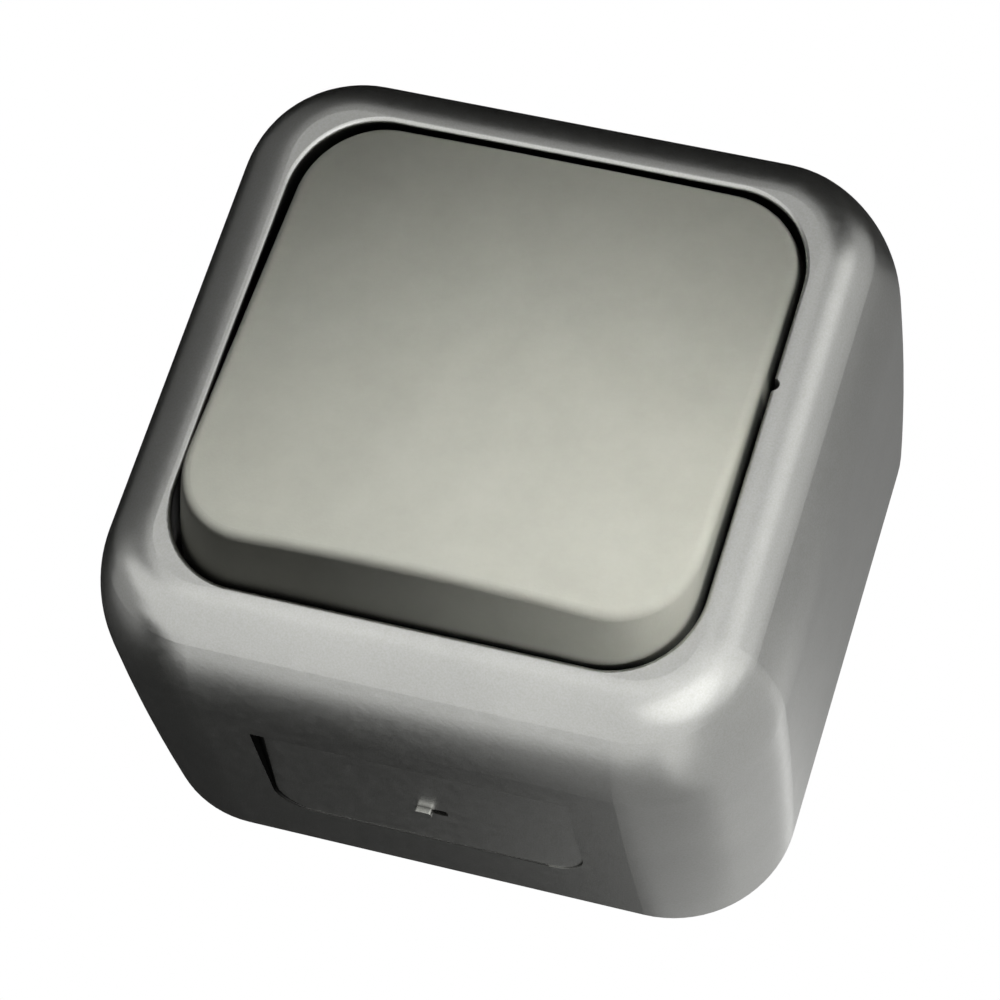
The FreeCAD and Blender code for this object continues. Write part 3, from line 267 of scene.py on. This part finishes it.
def dress_nodes():
    """Give each material slot of the record its finish."""
    finishes = {
        "cover_plastic": metallic_paint(),
        "rocker_plastic": matt_key(),
        "carrier_plastic": moulded("carrier_white", (0.62, 0.61, 0.57), 0.4),
        "plunger_plastic": moulded("plunger_cream", (0.72, 0.7, 0.62), 0.25, depth=0.000004),
        "body_plastic": moulded("body_thermoset", (0.055, 0.055, 0.058), 0.45),
        "lid_plastic": moulded("lid_grey", (0.5, 0.49, 0.45), 0.45),
        "base_plastic": moulded("base_grey", (0.2, 0.2, 0.2), 0.5, depth=0.000014),
        "spring_steel": worked_metal("spring_wire", (0.5, 0.5, 0.5), 0.25),
        "contact_copper": worked_metal("lever_copper", (0.72, 0.42, 0.27), 0.3),
        "contact_silver": worked_metal("contact_silver", (0.8, 0.79, 0.76), 0.3),
        "terminal_brass": worked_metal("terminal_brass", (0.72, 0.55, 0.26), 0.3),
        "plated_steel": worked_metal("zinc_plate", (0.6, 0.61, 0.62), 0.32),
    }
    for part in frame["record"]["subparts"]:
        for slot in frame["nodes"][part["node"]].material_slots:
            slot.material = finishes[part["material_slot"]]


def painted_gap_shade():
    """The liner's dull colour: black down the side, where the step is a gap, as painted shade, and grey
    along the back.
    """
    material, tree = new_material("panel_gap_painted_shade")
    across = add(tree, "ShaderNodeSeparateXYZ", {0: place_on(tree)}).outputs["X"]
    closing = remapped(tree, across, (-PANEL_SIDE, PANEL_CORNER - PANEL_SIDE))
    worn = spread(tree, grain(tree, 900))
    grey = between(tree, worn, *shades(GAP_GREY, 0.1))
    # black down the left side: painted shade for the gap at the step
    colour = between(tree, closing, GAP_SHADE_BLACK, grey)
    surface = add(tree, "ShaderNodeBsdfPrincipled", {"Specular IOR Level": 0.0})
    rough = spread(tree, grain(tree, 700), 0.75, 0.9)
    finish_surface(tree, surface, colour, rough, relief=grain(tree, 2000), depth=0.000006)
    return material


def panel_floor(depth):
    """Height of the panel's floor at a depth out from the wall."""
    return -(PANEL_FLOOR - depth * math.tan(PANEL_LEAN))


def underside(place):
    """Height of the cover's outer face below a place, found by a ray from under the object."""
    below = Vector((place.x, place.y, BELOW_OBJECT))
    hit, found, _, _ = frame["nodes"]["cover"].ray_cast(below, Vector((0, 0, 1)))
    return found.z if hit else panel_floor(-place.y)


def panel_path():
    """Points down the panel's left side, round its corner and along its back edge.

    Each has the direction from that edge into the panel.
    """
    corner_end = PANEL_NEAR + PANEL_CORNER
    path = []
    for step in range(LINER_STEPS + 1):
        depth = LINER_FAR - (LINER_FAR - corner_end) * step / LINER_STEPS
        path.append((Vector((-PANEL_SIDE, -depth, 0)), Vector((1, 0, 0))))
    middle = Vector((PANEL_CORNER - PANEL_SIDE, -corner_end, 0))
    for step in range(1, LINER_STEPS + 1):
        turn = math.radians(180 - 90 * step / LINER_STEPS)
        out = Vector((math.cos(turn), math.sin(turn), 0))
        path.append((middle + out * PANEL_CORNER, -out))
    path.append((Vector((PANEL_SIDE - PANEL_CORNER, -PANEL_NEAR, 0)), Vector((0, -1, 0))))
    return path


def liner_section(place, inward):
    """The liner's section at one point of the path: down the step to its foot, and in along the floor."""
    depth = -place.y
    floor = panel_floor(depth) - LINER_LIFT
    rim = underside(place - inward * LINER_REACH) + LINER_LIFT
    opened = max(0.0, (depth - PANEL_NEAR) / (LINER_FAR - PANEL_NEAR))
    width = LINER_WIDTH * (LINER_NARROW + (1 - LINER_NARROW) * opened)
    wall = place + inward * LINER_LIFT
    foot = place + inward * (LINER_LIFT + width)
    return [(wall.x, wall.y, rim), (wall.x, wall.y, floor), (foot.x, foot.y, floor)]


def add_panel_gap():
    """Thin liner on the break-out panel's step, wide at the front left and narrow along the back; its black
    side is painted shade for the gap.
    """
    liner = bmesh.new()
    sections = [[liner.verts.new(point) for point in liner_section(*station)] for station in panel_path()]
    for first, second in zip(sections, sections[1:]):
        for low, high in ((0, 1), (1, 2)):
            liner.faces.new((first[low], first[high], second[high], second[low]))
    bmesh.ops.recalc_face_normals(liner, faces=liner.faces)
    bmesh.ops.solidify(liner, geom=liner.faces[:], thickness=LINER_THICKNESS)
    bmesh.ops.recalc_face_normals(liner, faces=liner.faces)
    mesh = bpy.data.meshes.new("panel_gap")
    liner.to_mesh(mesh)
    liner.free()
    mesh.materials.append(painted_gap_shade())
    gap = new_object("panel_gap", mesh)
    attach(gap, "housing")


def add_spring():
    """The plunger's spring, as a copy of its mesh that rides with the rocker in place of the original."""
    joints = frame["record"]["behaviour"]["joints"]
    slide = next(joint for joint in joints if joint["name"] == "plunger_slide")
    axis = Vector(slide["axis"])
    spring = new_object("coil_spring", frame["nodes"]["plunger_spring"].data.copy())
    along = sorted((point.co for point in spring.data.vertices), key=axis.dot)
    seat = along[-1].copy()
    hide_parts("plunger_spring")
    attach(spring, "rocker")
    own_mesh(spring)


def sheet(name, width, height):
    """Flat rectangle about its own middle."""
    across, along = width / 2, height / 2
    corners = [(-across, -along, 0), (across, -along, 0), (across, along, 0), (-across, along, 0)]
    mesh = bpy.data.meshes.new(name)
    mesh.from_pydata(corners, [], [(0, 1, 2, 3)])
    made = new_object(name, mesh)
    return made


def add_floor():
    """Plain pale floor far below the switch, white to the camera and still shaded by the lamps."""
    floor = sheet("floor", FLOOR_SIZE, FLOOR_SIZE)
    floor.location.z = FLOOR_HEIGHT
    material, tree = new_material("floor_paper")
    tone = between(tree, spread(tree, grain(tree, 12)), *FLOOR_TONES)
    glow = calculated(tree, "MULTIPLY", seen_white(tree), FLOOR_GLOW)
    inputs = {"Emission Color": tone, "Emission Strength": glow, "Specular IOR Level": 0.1}
    surface = add(tree, "ShaderNodeBsdfPrincipled", inputs)
    rough = spread(tree, grain(tree, 40), 0.8, 0.9)
    finish_surface(tree, surface, tone, rough, relief=grain(tree, 400), depth=0.0001)
    floor.data.materials.append(material)


def set_world():
    """White to the camera and in reflections, and a faint grey light on everything matt."""
    world = bpy.data.worlds.new("studio")
    bpy.context.scene.world = world
    world.use_nodes = True
    tree = world.node_tree
    tree.nodes.clear()
    colour = between(tree, seen_white(tree), AMBIENT, WHITE)
    sky = add(tree, "ShaderNodeBackground", {"Color": colour, "Strength": 1.0})
    add(tree, "ShaderNodeOutputWorld", {"Surface": sky.outputs[0]})


def face_object(item, side, distance):
    """Put a card or a lamp on one side of the object, facing it."""
    away = direction(side)
    item.location = CAMERA_AIM + away * distance
    item.rotation_euler = away.to_track_quat("Z", "Y").to_euler()


def add_card(name, side, size, distance, shade):
    """Studio card that shows only as a reflection, in the satin paint and the metal parts."""
    card = sheet(name, *size)
    face_object(card, side, distance)
    material, tree = new_material(name + "_paper")
    tone = between(tree, grain(tree, 30), *shades((shade, shade, shade), 0.1))
    shine = add(tree, "ShaderNodeEmission", {"Color": tone, "Strength": 1.0})
    add(tree, "ShaderNodeOutputMaterial", {"Surface": shine.outputs[0]})
    card.data.materials.append(material)
    for sight in ("visible_camera", "visible_diffuse", "visible_shadow", "visible_transmission"):
        setattr(card, sight, False)


def add_cards():
    """Dark cards over, behind and to the left of the switch, and lighter ones for its pale sides."""
    add_card("card_above", side=(-20, 80), size=(2.0, 1.9), distance=0.9, shade=0.012)
    add_card("card_left_behind", side=(-135, -20), size=(1.5, 1.5), distance=0.9, shade=0.02)
    add_card("card_behind", side=(-145, 42), size=(1.2, 1.4), distance=0.84, shade=0.003)
    add_card("card_left", side=(-68, 34), size=(1.7, 1.35), distance=1.0, shade=0.1)
    add_card("card_left_low", side=(-98, -20), size=(0.9, 0.55), distance=0.85, shade=0.3)
    add_card("card_right", side=(86, 38), size=(0.3, 0.24), distance=0.38, shade=0.42)
    add_card("card_right_behind", side=(142, 31), size=(0.5, 0.14), distance=0.38, shade=0.2)
    add_card("card_right_above", side=(138, 54), size=(1.3, 0.5), distance=0.87, shade=0.01)
    add_card("card_right_low", side=(129, -13), size=(0.72, 0.5), distance=0.42, shade=0.48)
    add_card("card_low_behind", side=(170, -40), size=(0.25, 0.4), distance=0.4, shade=0.24)
    add_card("card_front", side=(-15, 37), size=(0.5, 0.5), distance=1.1, shade=0.4)


def add_spot(name, side, distance, target, cone, size, power):
    """Lamp with a soft cone centred beside the rocker, so the face darkens away from that side."""
    data = bpy.data.lights.new(name, "SPOT")
    data.spot_size = math.radians(cone)
    data.spot_blend = 1.0
    data.shadow_soft_size = size
    data.energy = power
    spot = new_object(name, data)
    face_object(spot, side, distance)
    spot.rotation_euler = (target - spot.location).to_track_quat("-Z", "Y").to_euler()
    spot.visible_glossy = False


def add_lamp(name, side, distance, size, power, glossy=True, diffuse=True):
    """Round soft lamp facing the object, for the metal's gloss, the plastic's shading or both."""
    data = bpy.data.lights.new(name, "AREA")
    data.shape = "DISK"
    data.size = size
    data.energy = power
    lamp = new_object(name, data)
    face_object(lamp, side, distance)
    lamp.visible_glossy = glossy
    lamp.visible_diffuse = diffuse


def add_lights():
    """Two spots and a weak side lamp for the matt rocker, and one lamp that only the gloss shows."""
    add_spot("key", side=(22, 28), distance=0.4, target=KEY_TARGET, cone=22.8, size=0.03, power=10.4)
    add_spot("low_key", side=(50, -40), distance=0.4, target=LOW_KEY_TARGET, cone=6.6, size=0.02, power=7.0)
    add_lamp("side", side=(75, 0), distance=0.35, size=0.3, power=0.05, glossy=False)
    add_lamp("sheen", side=(38, -24), distance=0.6, size=0.6, power=0.55, diffuse=False)


place_camera()
set_world()
bpy.context.scene.view_settings.view_transform = "Standard"
dress_nodes()
add_panel_gap()
add_spring()
add_floor()
add_cards()
add_lights()
